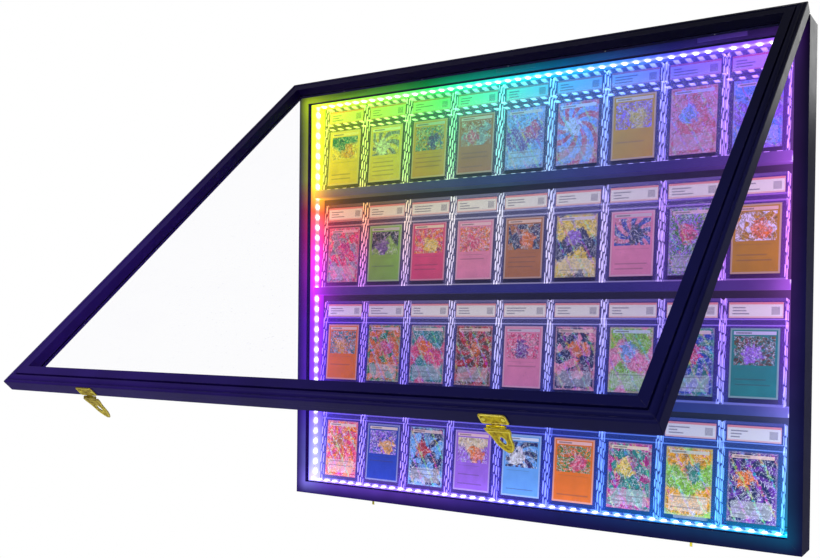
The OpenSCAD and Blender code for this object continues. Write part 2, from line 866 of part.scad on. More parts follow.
module latch_tongue(side) {
    brass() swung() translate([side * hasp_x, hasp_axis_y, hasp_axis_z]) difference() {
        union() {
            translate([0, 0, -hasp_t])
                linear_extrude(hasp_t)
                    difference() {
                        polygon(concat(tongue_side(1), turned(tongue_side(-1))));
                        eye_slot();
                    }
            for (s = [-1, 1])
                translate([s * (ear_low + ear_len / 2) - ear_len / 2, 0, 0]) {
                    translate([0, 0, -hasp_t])
                        cube([ear_len, tongue_start + 1, hasp_t]);
                    rotate([0, 90, 0])
                        cylinder(ear_len, d = hasp_barrel_d);
                }
        }
        translate([-hasp_w / 2, 0, 0])
            rotate([0, 90, 0])
                cylinder(hasp_w, d = hasp_pin_d + 2 * pin_play);
    }
}

module latch_tongue_left() { latch_tongue(-1); }
module latch_tongue_right() { latch_tongue(1); }

// Keepers: a small plate under the case with a hook that passes through the tongue's slot
module keeper_plates() {
    brass() for (s = [-1, 1])
        difference() {
            translate([s * hasp_x, keeper_y, -case_h / 2]) union() {
                translate([0, 0, -keeper_t])
                    linear_extrude(keeper_t)
                        rounded_plate(keeper_w, keeper_d, keeper_corner);
                translate([-hook_w / 2, -hook_t / 2, -hook_drop + hook_curl_r])
                    cube([hook_w, hook_t, hook_drop - hook_curl_r - keeper_t / 2]);
                translate([-hook_w / 2, -hook_t / 2 + hook_curl_r, -hook_drop + hook_curl_r])
                    rotate([0, 90, 0])
                        cylinder(hook_w, r = hook_curl_r);
            }
            keeper_screw_set(bore_play);
        }
}

module keeper_screws() { brass() keeper_screw_set(0); }

// Outline of a slab with its corners cut, as [across, up]
module slab_outline() {
    c = slab_corner;
    w = slab_w / 2;
    polygon([[-w + c, 0], [w - c, 0], [w, c], [w, slab_h - c],
             [w - c, slab_h], [-w + c, slab_h], [-w, slab_h - c], [-w, c]]);
}

// Puts its children at every slab of a row, leaning back. Row 1 is the highest.
module each_slab(row) {
    for (k = [0 : columns - 1])
        translate([(k - (columns - 1) / 2) * slab_pitch, foot_y,
                   shelf_top(row) - groove_depth + slab_t * sin(lean)])
            rotate([-lean, 0, 0])
                children();
}

// A box on the slab's face, centred across, from one depth to another
module slab_box(w, low, high, from, to) {
    translate([-w / 2, from, low])
        cube([w, to - from, high - low]);
}

// Front shell: a rim and two ridges stand proud of the card's and the label's windows
module slab_front() {
    window_w = slab_w - 2 * slab_rim_w;
    mid_low = card_top + 2.5;
    mid_high = label_low - 1;
    seat = shell_split - pocket_d;
    difference() {
        translate([0, shell_split, 0])
            rotate([90, 0, 0])
                linear_extrude(shell_split)
                    slab_outline();
        slab_box(window_w, slab_rim_w, mid_low, -cut, slab_rim_t);
        slab_box(window_w, mid_low + ridge_t, mid_high - ridge_t, -cut, slab_rim_t);
        slab_box(window_w, mid_high, slab_h - slab_rim_w, -cut, slab_rim_t);
        slab_box(card_w + 2 * pocket_play, card_low - pocket_play, card_top + pocket_play,
                 seat, shell_split + cut);
        slab_box(label_w + 2 * pocket_play, label_low - pocket_play, label_high + pocket_play,
                 seat, shell_split + cut);
    }
}

// Back shell: flat towards the card, with a raised rim behind
module slab_back() {
    window_w = slab_w - 2 * slab_rim_w;
    difference() {
        translate([0, slab_t, 0])
            rotate([90, 0, 0])
                linear_extrude(slab_t - shell_split)
                    slab_outline();
        slab_box(window_w, slab_rim_w, slab_h - slab_rim_w, slab_t - slab_rim_t, slab_t + cut);
    }
}

module slab_fronts_row(row) { clear_shell() each_slab(row) slab_front(); }
module slab_backs_row(row) { clear_shell() each_slab(row) slab_back(); }

module cards_row(row) {
    color([0.75, 0.62, 0.5]) each_slab(row)
        slab_box(card_w, card_low, card_top, shell_split - card_t, shell_split);
}

module labels_row(row) {
    color([0.95, 0.92, 0.84]) each_slab(row)
        slab_box(label_w, label_low, label_high, shell_split - label_t, shell_split);
}

case_top_board();
case_bottom_board();
case_left_board();
case_right_board();
back_panel();
back_panel_screws();
for (k = [1 : rows - 1])
    shelf(k);
led_tape_top();
led_tape_bottom();
led_tape_left();
led_tape_right();
led_chips();
led_corner_links();
led_controller();
led_leads();
power_inlet();
power_inlet_nut();
wall_hangers();
hanger_screws();
hinge_case_leaves();
hinge_door_leaves();
hinge_pins();
hinge_case_screws();
hinge_door_screws();
door_top_rail();
door_bottom_rail();
door_left_rail();
door_right_rail();
door_pane();
pane_retainers();
retainer_brads();
door_bumpers();
latch_plates();
latch_plate_screws();
latch_pins();
latch_tongue_left();
latch_tongue_right();
keeper_plates();
keeper_screws();
for (r = [1 : rows])
    slab_fronts_row(r);
for (r = [1 : rows])
    slab_backs_row(r);
for (r = [1 : rows])
    cards_row(r);
for (r = [1 : rows])
    labels_row(r);
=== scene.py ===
import math

import bmesh
import bpy
from mathutils import Matrix, Vector


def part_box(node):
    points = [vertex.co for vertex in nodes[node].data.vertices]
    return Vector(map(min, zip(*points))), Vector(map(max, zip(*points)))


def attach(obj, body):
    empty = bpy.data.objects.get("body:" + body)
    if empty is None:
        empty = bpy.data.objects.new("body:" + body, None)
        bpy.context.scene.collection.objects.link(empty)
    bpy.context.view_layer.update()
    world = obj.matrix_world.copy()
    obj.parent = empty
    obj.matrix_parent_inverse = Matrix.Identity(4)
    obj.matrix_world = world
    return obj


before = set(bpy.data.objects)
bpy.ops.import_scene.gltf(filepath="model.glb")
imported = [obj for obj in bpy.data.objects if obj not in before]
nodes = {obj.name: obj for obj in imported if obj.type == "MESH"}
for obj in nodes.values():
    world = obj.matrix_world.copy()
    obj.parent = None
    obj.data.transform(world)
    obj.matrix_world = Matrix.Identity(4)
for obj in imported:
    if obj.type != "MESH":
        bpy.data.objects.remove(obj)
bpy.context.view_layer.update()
scene = bpy.context.scene

# Places taken from the frame, in metres
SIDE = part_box("led_tape_right")[1].x
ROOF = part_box("led_tape_top")[1].z
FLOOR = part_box("led_tape_bottom")[0].z
SIDE_TAPE_Y = sum(corner.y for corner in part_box("led_tape_left")) / 2
TOP_TAPE_Y = sum(corner.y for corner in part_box("led_tape_top")) / 2
BOTTOM_TAPE_Y = sum(corner.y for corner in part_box("led_tape_bottom")) / 2
CASE_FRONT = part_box("case_top_board")[0].y
CHIP_PITCH = 0.016667
CHIP_RISE = 0.0012

# How far the lit zone reaches into the walls, and how far behind the front edge it starts
WALL_SKIN, FRONT_SKIN = 0.0004, 0.0005

# How far the light of a tape and of a chip reaches, and where a chip's core fades out
FLOOD_REACH, SCALLOP_REACH, SPREAD_REACH = 0.030, 0.006, 0.09
CORE_FADE = (0.0018, 0.0075)

# How the slabs stand in their rows
COLUMNS = 9
SLAB_PITCH = 0.0846
ROW_PITCH = 0.1571886
GROOVE_DEEP = 0.0012
LEAN = math.radians(4.34785)
SLAB_THICK, SLAB_HIGH = 0.00635, 0.1365
SLAB_FOOT_Y = -0.0197
SLAB_FOOT_Z = SLAB_THICK * math.sin(LEAN) - GROOVE_DEEP

# A slab's own measures, up from its foot and across from its middle
WINDOW_HALF = 0.03785
END_FROSTED, END_CLEAR = 0.0030, 0.0038
RIDGES, RIDGE_HALF = (0.10175, 0.10975), 0.00075
CARD_LOW, CARD_HIGH, CARD_WIDE = 0.0095, 0.0985, 0.0635
LABEL_LOW, LABEL_HIGH, LABEL_WIDE = 0.1115, 0.1315, 0.070

# A hasp's own measures, from its pin, with the door shut
DOOR_SWING = math.radians(-45)
HASP_WIDE = 0.027
RING_SINK = 0.00005
PLATE_FACE, PLATE_MIDDLE, SCREW_ACROSS = 0.00095, -0.0078, 0.0095
PLATE_INSET, PLATE_NEAR, PLATE_FAR, PLATE_CUT = 0.0006, -0.0026, -0.0132, 0.0020
PLATE_RIM_WIDE, PLATE_RIM_RISE = 0.0011, 0.00035
SCREW_RADIUS, SCREW_FLAT = 0.0019, 0.34
TONGUE_FACE = -0.0009
TONGUE_RIM_WIDE, SLOT_RIM_THICK, TONGUE_RIM_RISE = 0.0011, 0.0009, 0.0003

# Half of the tongue's outline, as shares of its width and of its reach
TONGUE_HALF = [(0.43, 0.10), (0.40, 0.18), (0.36, 0.27), (0.33, 0.36), (0.315, 0.46),
               (0.305, 0.57), (0.28, 0.68), (0.235, 0.78), (0.175, 0.87), (0.115, 0.93)]
TONGUE_START, TONGUE_REACH = 0.00175, 0.03125
TONGUE_OUTLINE = ([(wide * HASP_WIDE, TONGUE_START + along * TONGUE_REACH)
                   for wide, along in TONGUE_HALF] +
                  [(-wide * HASP_WIDE, TONGUE_START + along * TONGUE_REACH)
                   for wide, along in reversed(TONGUE_HALF)])
SLOT_MIDDLE, SLOT_RIM_LONG, SLOT_RIM_WIDE = 0.0172, 0.0063, 0.0038
SLOT_TURNS = [turn * math.pi / 14 for turn in range(28)]
SLOT_RIM = [(SLOT_RIM_WIDE * math.cos(turn), SLOT_MIDDLE + SLOT_RIM_LONG * math.sin(turn))
            for turn in SLOT_TURNS]

# The viewpoint: where the camera stands, and its yaw, pitch and roll
CAMERA_PLACE = (0.64570, -1.11528, -0.05699)
CAMERA_TURN = (0.4947, -0.0128, 0.0121)

# Lamps: name, place, aim, size and power
LAMPS = [("key", (-0.9, -1.9, 1.3), (0, 0, 0), 1.2, 18),
         ("fill", (1.6, -1.6, 0.3), (0.1, 0, -0.1), 1.4, 4),
         ("under", (0.0, -1.4, -1.0), (0, -0.1, -0.3), 0.9, 4),
         ("back", (0.5, 1.6, 1.2), (0, 0, 0), 1.2, 16)]
STAGE_PLACE, STAGE_RADIUS = (0, -0.2, -0.8), 1.45

# Colours of the print and of the lights, as linear red, green and blue
INK = {
    "red": (0.62, 0.04, 0.04), "crimson": (0.42, 0.02, 0.09), "orange": (0.86, 0.27, 0.01),
    "amber": (0.80, 0.44, 0.01), "yellow": (0.88, 0.68, 0.12), "tan": (0.56, 0.24, 0.09),
    "brown": (0.20, 0.10, 0.05), "beige": (0.72, 0.60, 0.42), "green": (0.06, 0.33, 0.08),
    "lime": (0.34, 0.60, 0.10), "teal": (0.03, 0.33, 0.30), "cyan": (0.08, 0.52, 0.66),
    "blue": (0.04, 0.11, 0.50), "sky": (0.22, 0.48, 0.82), "navy": (0.02, 0.04, 0.18),
    "purple": (0.20, 0.05, 0.40), "violet": (0.42, 0.22, 0.72), "pink": (0.86, 0.34, 0.48),
    "rose": (0.80, 0.12, 0.26), "magenta": (0.60, 0.03, 0.34), "white": (0.82, 0.82, 0.84),
    "grey": (0.34, 0.37, 0.42), "dark": (0.03, 0.04, 0.06), "gold": (0.60, 0.36, 0.02),
}

# Each card's main, second and third ink, and 1 where its picture fills the card
CARD_INKS = {
    1: [("yellow", "teal", "amber", 0), ("yellow", "grey", "white", 0),
        ("amber", "teal", "blue", 0), ("tan", "grey", "rose", 0), ("blue", "sky", "rose", 1),
        ("rose", "sky", "white", 1), ("amber", "violet", "yellow", 0), ("pink", "rose", "sky", 1),
        ("violet", "sky", "pink", 1)],
    2: [("rose", "grey", "magenta", 1), ("lime", "dark", "purple", 0),
        ("rose", "orange", "yellow", 0), ("pink", "orange", "rose", 0),
        ("tan", "navy", "orange", 0), ("navy", "yellow", "violet", 1), ("pink", "blue", "navy", 0),
        ("violet", "green", "rose", 1), ("gold", "white", "orange", 0)],
    3: [("orange", "teal", "amber", 0), ("green", "orange", "rose", 1),
        ("rose", "teal", "orange", 1),
        ("red", "brown", "orange", 1), ("pink", "rose", "purple", 0), ("pink", "navy", "orange", 1),
        ("pink", "lime", "sky", 1), ("teal", "blue", "rose", 1), ("teal", "brown", "violet", 0)],
    4: [("rose", "orange", "tan", 1), ("blue", "violet", "amber", 0), ("sky", "navy", "red", 1),
        ("violet", "beige", "orange", 0), ("sky", "navy", "white", 0),
        ("orange", "green", "rose", 0),
        ("magenta", "teal", "yellow", 1), ("lime", "amber", "teal", 1),
        ("purple", "navy", "orange", 1)],
}
INK_DEPTH = 1.35

# How strongly the lights tinge the cards of each row
CARD_TINGE = {1: 0.90, 2: 0.60, 3: 0.45, 4: 0.22}

# Colours along each tape, from its left or its foot
TOP_LIGHTS = [(0, (0.62, 0.85, 0)), (0.12, (0.30, 0.85, 0)), (0.3, (0, 0.78, 0.10)),
              (0.45, (0, 0.70, 0.55)), (0.6, (0, 0.38, 0.92)), (0.8, (0.08, 0.08, 0.90)),
              (1, (0.34, 0.08, 0.90))]
LEFT_LIGHTS = [(0, (0.30, 0.40, 0.95)), (0.2, (0.12, 0.04, 0.92)), (0.42, (0.24, 0.01, 0.92)),
               (0.54, (0.62, 0.01, 0.80)), (0.65, (0.88, 0.01, 0.22)), (0.72, (0.92, 0.06, 0)),
               (0.765, (0.88, 0.38, 0)), (0.80, (0.74, 0.76, 0)), (1, (0.60, 0.82, 0))]
BOTTOM_LIGHTS = [(0, (0.22, 0.08, 0.90)), (0.3, (0.26, 0.10, 0.92)), (0.5, (0.10, 0.08, 0.92)),
                 (0.7, (0.02, 0.22, 0.95)), (1, (0, 0.48, 0.90))]
RIGHT_LIGHTS = [(0, (0, 0.48, 0.90)), (0.35, (0.38, 0.10, 0.90)), (0.6, (0.58, 0.12, 0.80)),
                (1, (0.30, 0.10, 0.90))]


class Num:
    """A number in a shader. Arithmetic on it adds Math nodes."""

    def __init__(self, sheet, socket):
        self.sheet, self.socket = sheet, socket

    def __add__(self, other):
        return self.sheet.math("ADD", self, other)

    def __sub__(self, other):
        return self.sheet.math("SUBTRACT", self, other)

    def __rsub__(self, other):
        return self.sheet.math("SUBTRACT", other, self)

    def __mul__(self, other):
        return self.sheet.math("MULTIPLY", self, other)

    def __truediv__(self, other):
        return self.sheet.math("DIVIDE", self, other)

    def __rtruediv__(self, other):
        return self.sheet.math("DIVIDE", other, self)

    def __pow__(self, other):
        return self.sheet.math("POWER", self, other)

    def __abs__(self):
        return self.sheet.math("ABSOLUTE", self)

    def __gt__(self, other):
        return self.sheet.math("GREATER_THAN", self, other)

    def __lt__(self, other):
        return self.sheet.math("LESS_THAN", self, other)

    __radd__, __rmul__ = __add__, __mul__

    def floor(self):
        return self.sheet.math("FLOOR", self)

    def fract(self):
        return self.sheet.math("FRACT", self)

    def sin(self):
        return self.sheet.math("SINE", self)

    def root(self):
        return self.sheet.math("SQRT", self)

    def clamp(self):
        return self.sheet.math("ADD", self, 0, clamp=True)

    def least(self, other):
        return self.sheet.math("MINIMUM", self, other)

    def most(self, other):
        return self.sheet.math("MAXIMUM", self, other)

    def near(self, other, reach):
        """1 where the number is within reach of the other, otherwise 0."""
        return self.sheet.math("COMPARE", self, other, reach)


class Tint:
    """A colour or vector in a shader. Arithmetic on it adds Vector Math nodes."""

    def __init__(self, sheet, socket):
        self.sheet, self.socket = sheet, socket

    def __add__(self, other):
        return self.sheet.vector("ADD", self, other)

    def __mul__(self, other):
        if isinstance(other, (Num, int, float)):
            return self.sheet.scaled(self, other)
        return self.sheet.vector("MULTIPLY", self, other)

    def length(self):
        made = self.sheet.node("VectorMath", operation="LENGTH")
        self.sheet.feed(made.inputs[0], self)
        return Num(self.sheet, made.outputs["Value"])

    def parts(self):
        made = self.sheet.node("SeparateXYZ")
        self.sheet.feed(made.inputs[0], self)
        return [Num(self.sheet, out) for out in made.outputs]


class Sheet:
    """Lays out the nodes of one material or node group."""

    def __init__(self, tree):
        self.tree = tree

    def node(self, kind, **settings):
        made = self.tree.nodes.new("ShaderNode" + kind)
        for name, value in settings.items():
            setattr(made, name, value)
        return made

    def feed(self, socket, value):
        if isinstance(value, (Num, Tint)):
            self.tree.links.new(value.socket, socket)
        elif isinstance(value, (tuple, list)) and len(value) == 3 and socket.type == "RGBA":
            socket.default_value = (*value, 1)
        else:
            socket.default_value = value

    def math(self, kind, *values, clamp=False):
        made = self.node("Math", operation=kind, use_clamp=clamp)
        for socket, value in zip(made.inputs, values):
            self.feed(socket, value)
        return Num(self, made.outputs[0])

    def vector(self, kind, *values):
        made = self.node("VectorMath", operation=kind)
        for socket, value in zip(made.inputs, values):
            self.feed(socket, value)
        return Tint(self, made.outputs["Vector"])

    def scaled(self, tint, amount):
        made = self.node("VectorMath", operation="SCALE")
        self.feed(made.inputs[0], tint)
        self.feed(made.inputs["Scale"], amount)
        return Tint(self, made.outputs["Vector"])

    def join(self, x, y, z):
        made = self.node("CombineXYZ")
        for socket, value in zip(made.inputs, (x, y, z)):
            self.feed(socket, value)
        return Tint(self, made.outputs[0])

    def point(self):
        """The point on the object."""
        return Tint(self, self.node("TexCoord").outputs["Object"])

    def place(self):
        """The point on the object, whole and as its x, y and z."""
        point = self.point()
        return point, *point.parts()

    def grey(self, level):
        return self.join(level, level, level)

    def mix(self, share, first, second, kind="MIX"):
        made = self.node("Mix", data_type="RGBA", blend_type=kind, clamp_factor=True)
        for socket, value in zip((made.inputs[0], made.inputs[6], made.inputs[7]),
                                 (share, first, second)):
            self.feed(socket, value)
        return Tint(self, made.outputs[2])

    def ease(self, value, low, high, start=0.0, end=1.0):
        """Goes smoothly from start to end as value goes from low to high."""
        made = self.node("MapRange", interpolation_type="SMOOTHSTEP")
        for socket, number in zip(made.inputs, (value, low, high, start, end)):
            self.feed(socket, number)
        return Num(self, made.outputs[0])

    def ramp(self, share, stops, kind="LINEAR"):
        made = self.node("ValToRGB")
        made.color_ramp.interpolation = kind
        points = made.color_ramp.elements
        while len(points) < len(stops):
            points.new(1)
        for point, (where, colour) in zip(points, stops):
            point.position = where
            point.color = (*colour, 1)
        self.feed(made.inputs[0], share)
        return Tint(self, made.outputs["Color"])

    def noise(self, point, scale, detail=3, rough=0.55, bend=0.0):
        made = self.node("TexNoise")
        self.feed(made.inputs["Vector"], point)
        for name, value in (("Scale", scale), ("Detail", detail), ("Roughness", rough),
                            ("Distortion", bend)):
            made.inputs[name].default_value = value
        return Num(self, made.outputs["Fac"])

    def cells(self, point, scale):
        """How far off its cell's middle a point is, and its cell's own colour."""
        made = self.node("TexVoronoi")
        self.feed(made.inputs["Vector"], point)
        made.inputs["Scale"].default_value = scale
        return Num(self, made.outputs["Distance"]), Tint(self, made.outputs["Color"])

    def bump(self, height, distance, strength=1.0, under=None):
        made = self.node("Bump")
        self.feed(made.inputs["Height"], height)
        made.inputs["Distance"].default_value = distance
        made.inputs["Strength"].default_value = strength
        if under is not None:
            self.feed(made.inputs["Normal"], under)
        return Tint(self, made.outputs[0])

    def edges(self, radius):
        """1 on the edges of a piece and 0 on its flats, and the rounded normal."""
        bevel = self.node("Bevel", samples=4)
        bevel.inputs["Radius"].default_value = radius
        facing = self.node("VectorMath", operation="DOT_PRODUCT")
        self.tree.links.new(bevel.outputs[0], facing.inputs[0])
        self.tree.links.new(self.node("NewGeometry").outputs["True Normal"], facing.inputs[1])
        share = self.ease(1 - Num(self, facing.outputs["Value"]), 0.004, 0.09)
        return share, Tint(self, bevel.outputs[0])

    def tinged(self, colour, light, share):
        """The colour as it looks under a coloured light, more so where the light is strong."""
        hue = self.vector("NORMALIZE", light)
        strong = self.ease(light.length(), 0.07, 0.24, 0, share)
        return self.mix(strong, colour, hue * colour * 1.35)

    def call(self, group):
        made = self.node("Group", node_tree=group)
        return [Tint(self, out) if out.type == "RGBA" else Num(self, out)
                for out in made.outputs]


def group_of(name, outputs, build):
    """A node group with the given outputs, laid out by build(sheet)."""
    tree = bpy.data.node_groups.new(name, "ShaderNodeTree")
    for label, kind in outputs:
        tree.interface.new_socket(label, in_out="OUTPUT", socket_type=kind)
    sheet = Sheet(tree)
    results = build(sheet)
    out = tree.nodes.new("NodeGroupOutput")
    for socket, value in zip(out.inputs, results):
        sheet.feed(socket, value)
    return tree


def lay_tape_glow(sheet):
    """Light of the four tapes: close to a tape, further off, and how near a chip's core is."""
    _, x, y, z = sheet.place()
    close, wide, core = None, None, None
    tapes = [
        (x, y - TOP_TAPE_Y, ROOF - z, SIDE, TOP_LIGHTS, 1.0),
        (x, y - BOTTOM_TAPE_Y, z - FLOOR, SIDE, BOTTOM_LIGHTS, 1.0),
        (z, y - SIDE_TAPE_Y, x + SIDE, ROOF, LEFT_LIGHTS, 1.0),
        (z, y - SIDE_TAPE_Y, SIDE - x, ROOF, RIGHT_LIGHTS, 0.8),
    ]
    for along, across, off, half, stops, gain in tapes:
        step = ((along / CHIP_PITCH).fract() - 0.5) * CHIP_PITCH
        line = across * across + (off - CHIP_RISE) * (off - CHIP_RISE)
        chip = line + step * step
        colour = sheet.ramp(along / (2 * half) + 0.5, stops)
        flood = 1 / (line / FLOOD_REACH ** 2 + 1)
        scallop = 1 / (chip / SCALLOP_REACH ** 2 + 1)
        spread = SPREAD_REACH ** 2 / (line.root() + SPREAD_REACH) ** 2
        spot = sheet.ease(chip.root(), *CORE_FADE, 1, 0)
        close_part = colour * ((flood * flood * 0.60 + scallop * scallop * 0.9) * gain)
        wide_part = colour * (spread * gain)
        close = close_part if close is None else close + close_part
        wide = wide_part if wide is None else wide + wide_part
        core = spot if core is None else core.most(spot)
    return close, wide, core


TAPE_GLOW = group_of("tape glow", [("Close", "NodeSocketColor"), ("Wide", "NodeSocketColor"),
                                   ("Core", "NodeSocketFloat")], lay_tape_glow)


def lay_slab_place(sheet):
    """Where a point lies on its slab, across from its middle and up from its foot, and which."""
    _, x, y, z = sheet.place()
    row = ((z - (FLOOR - GROOVE_DEEP)) / ROW_PITCH).floor()
    column = (x / SLAB_PITCH + COLUMNS / 2).floor()
    across = x - (column - (COLUMNS - 1) / 2) * SLAB_PITCH
    rise = z - (row * ROW_PITCH + (FLOOR + SLAB_FOOT_Z))
    up = rise * math.cos(LEAN) + (y - SLAB_FOOT_Y) * math.sin(LEAN)
    return across, up, column, row


SLAB_PLACE = group_of("slab place", [(label, "NodeSocketFloat") for label in
                                     ("Across", "Up", "Column", "Row")], lay_slab_place)


def material(name, build, blended=False):
    """A material whose Principled shader is fed with what build(sheet) returns, by socket name."""
    made = bpy.data.materials.new(name)
    made.use_nodes = True
    made.node_tree.nodes.clear()
    sheet = Sheet(made.node_tree)
    out = sheet.node("OutputMaterial")
    shader = sheet.node("BsdfPrincipled")
    made.node_tree.links.new(shader.outputs[0], out.inputs[0])
    for label, value in build(sheet).items():
        sheet.feed(shader.inputs[label], value)
    if blended:
        made.surface_render_method = "BLENDED"
    return made


def inside_case(sheet, x, y, z):
    """1 inside the walls of the case and 0 outside."""
    return ((abs(x) < SIDE + WALL_SKIN) * (abs(z) < ROOF + WALL_SKIN) *
            (y > CASE_FRONT + FRONT_SKIN))


def paint_black(sheet):
    """Sprayed black lacquer: a fine orange peel, rubbed edges, a painted blue-violet cast of light,
    and the lights' painted glow inside.
    """
    point, x, y, z = sheet.place()
    close, wide, core = sheet.call(TAPE_GLOW)
    worn, rounded = sheet.edges(0.0007)
    peel = sheet.noise(point, 900, 2, 0.5)
    cloud = sheet.noise(point, 14, 4, 0.6)
    smudge = sheet.noise(point, 55, 5, 0.65, 0.6)
    scuff = worn * sheet.ease(sheet.noise(point, 160, 3), 0.42, 0.66)
    # Painted light: a blue cast over the black, a violet sheen at the left shading to navy at the
    # right
    base = sheet.mix(sheet.ease(x, -0.42, 0.36), (0.0220, 0.0070, 0.1350),
                     (0.0050, 0.0050, 0.0560)) * (0.6 + cloud * 0.8)
    # Painted shade: the blue cast fades, so the lacquer is darker towards the top
    base = base * sheet.ease(z, -0.02, 0.30, 1, 0.22)
    inner = inside_case(sheet, x, y, z)
    # Painted light: a deeper blue cast on the lacquer inside the case
    base = sheet.mix(inner * 0.6, base, (0.006, 0.009, 0.150))
    base = sheet.mix(scuff * 0.6, base, (0.075, 0.065, 0.130))
    open_side = sheet.ease(z * 0.3 - x * 0.5, -0.15, 0.15, 0.12, 1.25)
    glow = ((close * (open_side + inner * 0.90) + wide * (0.03 + inner * 0.45)) *
            (0.6 + cloud * 0.8))
    spill = (sheet.ease(abs(x), SIDE, SIDE + 0.024, 1, 0) *
             sheet.ease(abs(z), ROOF, ROOF + 0.024, 1, 0))
    halo = sheet.join(0.7, 0.7, 0.8) * (core * inner)
    glow = (glow + halo) * spill * inner.most(y.near(CASE_FRONT, 0.0006))
    return {
        "Base Color": base,
        "Roughness": 0.30 + smudge * 0.14 + scuff * 0.2,
        "Specular IOR Level": 0.05,
        "Normal": sheet.bump(peel, 0.00002, 0.35, rounded),
        "Emission Color": glow,
        "Emission Strength": 1.0,
    }


def paint_panel(sheet):
    """The dark faced board behind the slabs, lit round its edges by the tapes."""
    point, x, y, z = sheet.place()
    close, wide, _ = sheet.call(TAPE_GLOW)
    grain = sheet.noise(point * sheet.join(40, 40, 600), 1.0, 4, 0.6)
    base = sheet.mix(grain, (0.008, 0.007, 0.010), (0.020, 0.017, 0.022))
    inner = inside_case(sheet, x, y, z) * (y < -0.002)
    return {
        "Base Color": base,
        "Roughness": 0.52 + grain * 0.2,
        "Normal": sheet.bump(grain, 0.00008, 0.5),
        "Emission Color": (close * 0.6 + wide * 0.16) * inner,
        "Emission Strength": 1.0,
    }


def roll_brass(sheet):
    """Rolled brass with fine scratches, spots of tarnish and bright rubbed edges."""
    point = sheet.point()
    worn, rounded = sheet.edges(0.00035)
    dark_patches = sheet.ease(sheet.noise(point, 190, 5, 0.7), 0.44, 0.72)
    scratch = sheet.noise(point * sheet.join(260, 2600, 2600), 1.0, 2, 0.5)
    base = sheet.mix(dark_patches, (0.98, 0.86, 0.080), (0.72, 0.54, 0.02))
    base = sheet.mix(worn * 0.8, base, (1.0, 0.94, 0.46))
    return {
        "Base Color": base,
        "Metallic": 1.0,
        "Roughness": 0.24 + dark_patches * 0.20 + scratch * 0.10,
        "Normal": sheet.bump(scratch, 0.00002, 0.4, rounded),
    }


def press_brass(sheet):
    """The hasps' pressed sheet: painted shade makes it darker than its rims, and its dark brown
    patches are tarnish and painted shade.
    """
    point = sheet.point()
    worn, rounded = sheet.edges(0.00035)
    dark_patches = sheet.ease(sheet.noise(point, 240, 5, 0.7), 0.35, 0.65)
    dimple = sheet.noise(point, 520, 2)
    # Painted shade: a darker brass than the rims' rolled brass, dark brown in patches
    base = sheet.mix(dark_patches, (0.74, 0.58, 0.010), (0.26, 0.165, 0.006))
    return {
        "Base Color": sheet.mix(worn * 0.9, base, (1.0, 0.92, 0.42)),
        "Metallic": 1.0,
        "Roughness": 0.26 + dark_patches * 0.20,
        "Normal": sheet.bump(dimple, 0.00012, 0.8, rounded),
    }


def plate_zinc(sheet):
    """Zinc plating with its spangle and dull patches."""
    point = sheet.point()
    worn, rounded = sheet.edges(0.0003)
    _, spangle = sheet.cells(point, 420)
    dull = sheet.noise(point, 160, 4, 0.6)
    base = sheet.mix(0.5, sheet.mix(dull, (0.46, 0.47, 0.49), (0.64, 0.65, 0.66)), spangle,
                     "SOFT_LIGHT")
    return {
        "Base Color": sheet.mix(worn * 0.5, base, (0.82, 0.83, 0.84)),
        "Metallic": 1.0,
        "Roughness": 0.30 + dull * 0.22,
        "Normal": rounded,
    }


def japan_steel(sheet):
    """Black baked enamel on the steel hinges, rubbed bright along the knuckles, and the tapes'
    light painted on as glow.
    """
    point, _, y, z = sheet.place()
    close, _, _ = sheet.call(TAPE_GLOW)
    # Painted light: the tapes' glow on the hinge parts below and just above the roof, behind the
    # front edge
    spill = sheet.ease(z, ROOF, ROOF + 0.024, 1, 0) * (y > CASE_FRONT - 0.004)
    worn, rounded = sheet.edges(0.0003)
    rub = worn * sheet.ease(sheet.noise(point, 420, 3), 0.45, 0.60)
    grain = sheet.noise(point, 1300, 2)
    return {
        "Base Color": sheet.mix(rub, (0.010, 0.009, 0.014), (0.30, 0.29, 0.28)),
        "Metallic": rub * 0.9,
        "Roughness": 0.34 + grain * 0.12,
        "Normal": sheet.bump(grain, 0.00002, 0.4, rounded),
        "Emission Color": close * spill * 1.1,
        "Emission Strength": 1.0,
    }


def coat_tape(sheet):
    """White circuit tape: solder mask over faint copper tracks, lit by its own chips."""
    point, _, y, _ = sheet.place()
    close, wide, core = sheet.call(TAPE_GLOW)
    tracks = (sheet.math("PINGPONG", y, 0.0011) > 0.00075)
    speck = sheet.noise(point, 700, 2)
    base = sheet.mix(tracks * 0.35, (0.78, 0.78, 0.74), (0.62, 0.47, 0.30))
    return {
        "Base Color": sheet.mix(speck * 0.25, base, (0.52, 0.52, 0.50)),
        "Roughness": 0.38 + speck * 0.15,
        "Normal": sheet.bump(tracks, 0.00004, 0.5),
        "Emission Color": close * 0.8 + wide * 0.1 + sheet.join(0.9, 0.9, 1.0) * core,
        "Emission Strength": 1.0,
    }


def light_chip(sheet):
    """A chip: its white-hot core shades into the colour that it throws."""
    close, _, core = sheet.call(TAPE_GLOW)
    point = sheet.point()
    grit = sheet.noise(point, 1500, 2)
    lit = sheet.mix(core * 0.9, close, (1.0, 1.0, 1.0))
    return {
        "Base Color": sheet.mix(grit, (0.70, 0.70, 0.66), (0.86, 0.86, 0.80)),
        "Roughness": 0.35 + grit * 0.1,
        "Emission Color": lit,
        "Emission Strength": 3.2,
    }


def mould_black(sheet):
    """Black moulded plastic with a spark-eroded grain."""
    point = sheet.point()
    worn, rounded = sheet.edges(0.0003)
    grain = sheet.noise(point, 2400, 3, 0.6)
    return {
        "Base Color": sheet.mix(worn * 0.6 + grain * 0.2, (0.012, 0.012, 0.013),
                                (0.075, 0.074, 0.072)),
        "Roughness": 0.46 + grain * 0.18,
        "Normal": sheet.bump(grain, 0.00003, 0.6, rounded),
    }


